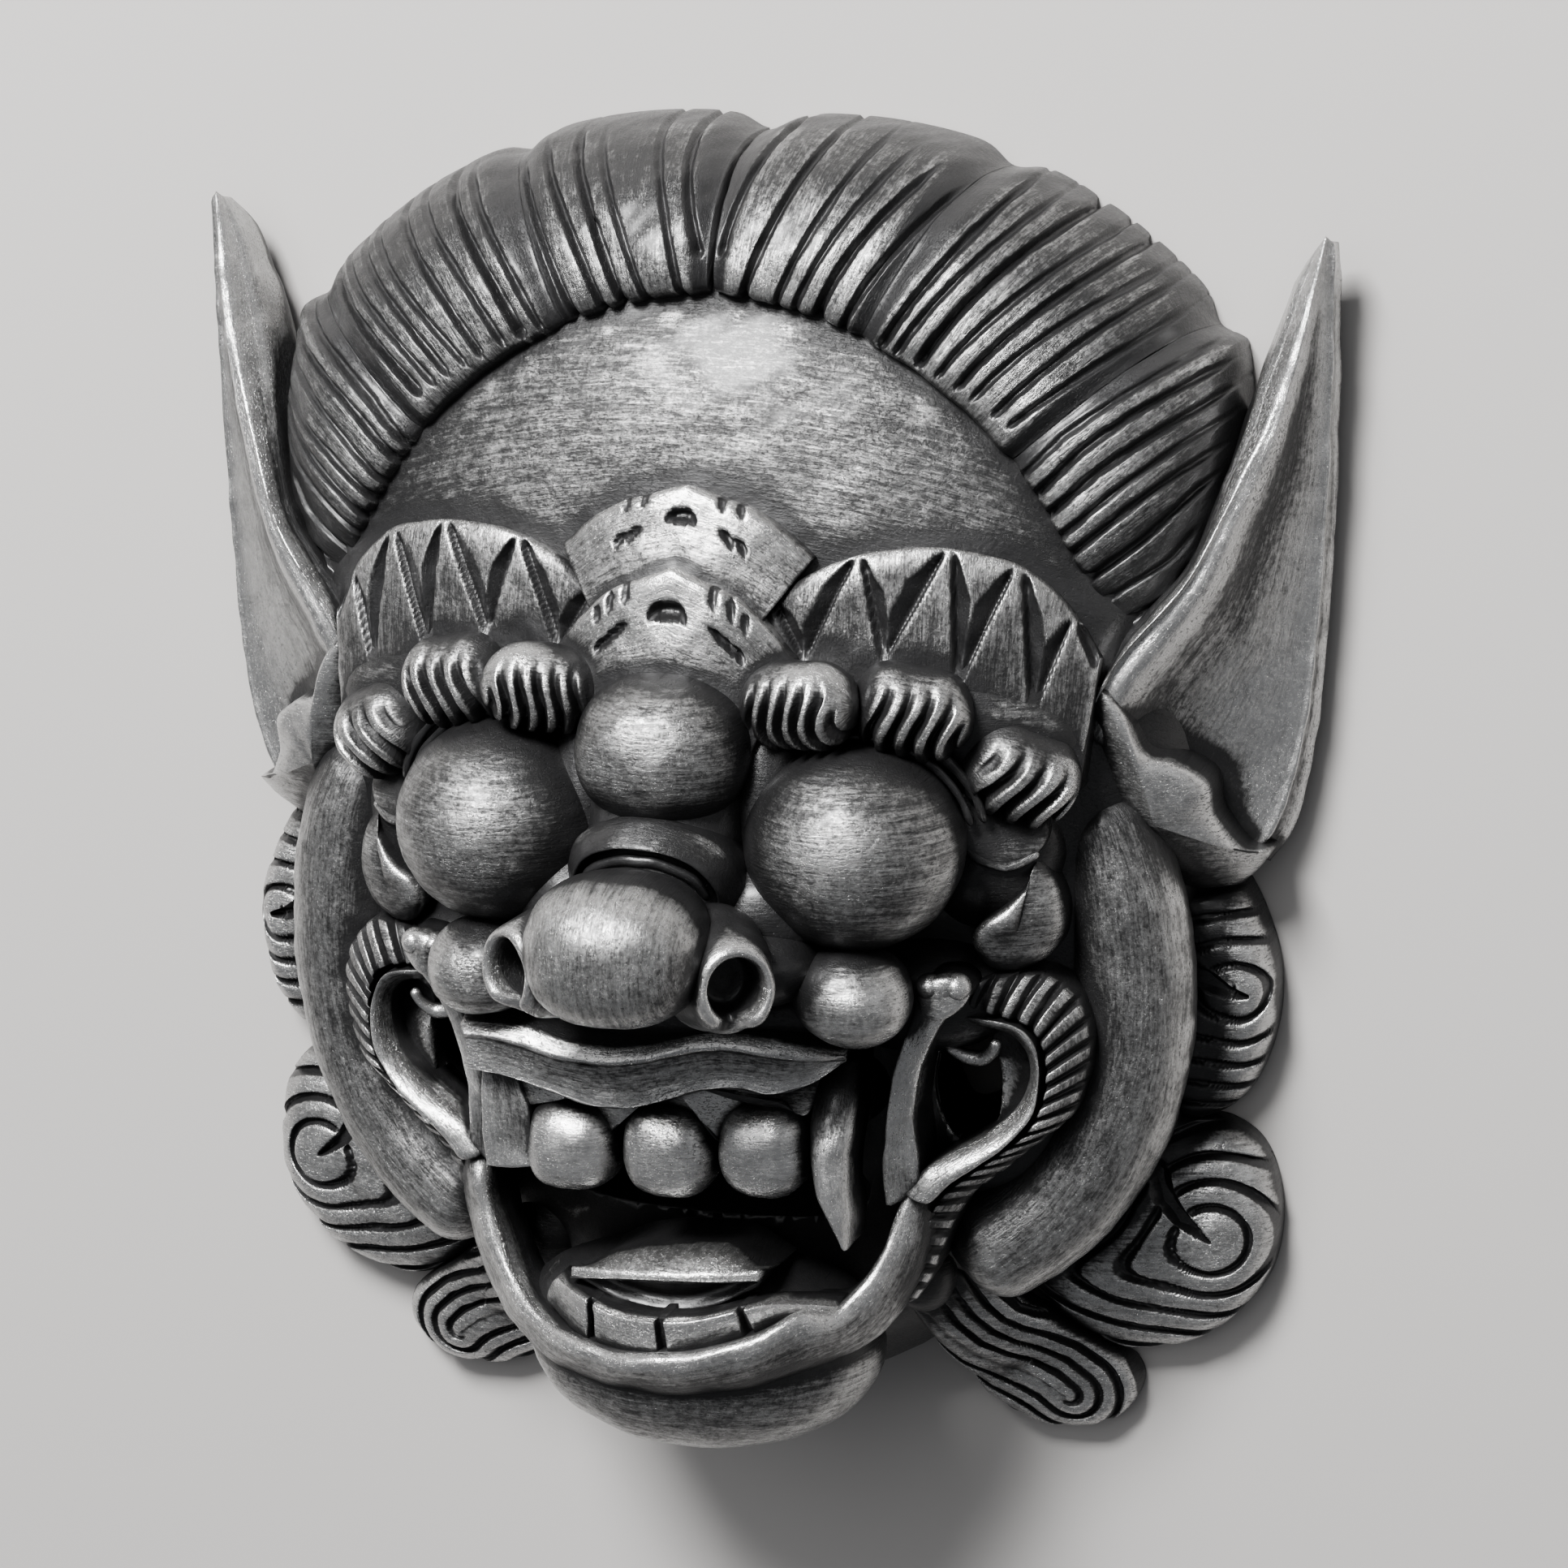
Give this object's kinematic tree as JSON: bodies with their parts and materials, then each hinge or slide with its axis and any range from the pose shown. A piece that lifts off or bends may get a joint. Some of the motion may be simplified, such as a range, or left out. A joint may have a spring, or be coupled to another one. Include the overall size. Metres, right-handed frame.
{
  "type": "barong mask",
  "caption": "Carved wooden wall mask of a lion-like guardian face with fanned hair, long pointed ears, bulging eyes, an open mouth and spiral whiskers, hollow behind.",
  "frame": {"origin": "on the surface the mask lies on, under the middle of its outline", "axes": "+Y towards the crown of the head, +Z out of the face, +X to the right of someone who looks at the face"},
  "size_m": [0.2102, 0.243, 0.106],
  "materials": {
    "antiqued_silver": "silver rubbed over black paint, semi-gloss"
  },
  "bodies": {
    "root": {"mask": "antiqued_silver"}
  },
  "joints": []
}
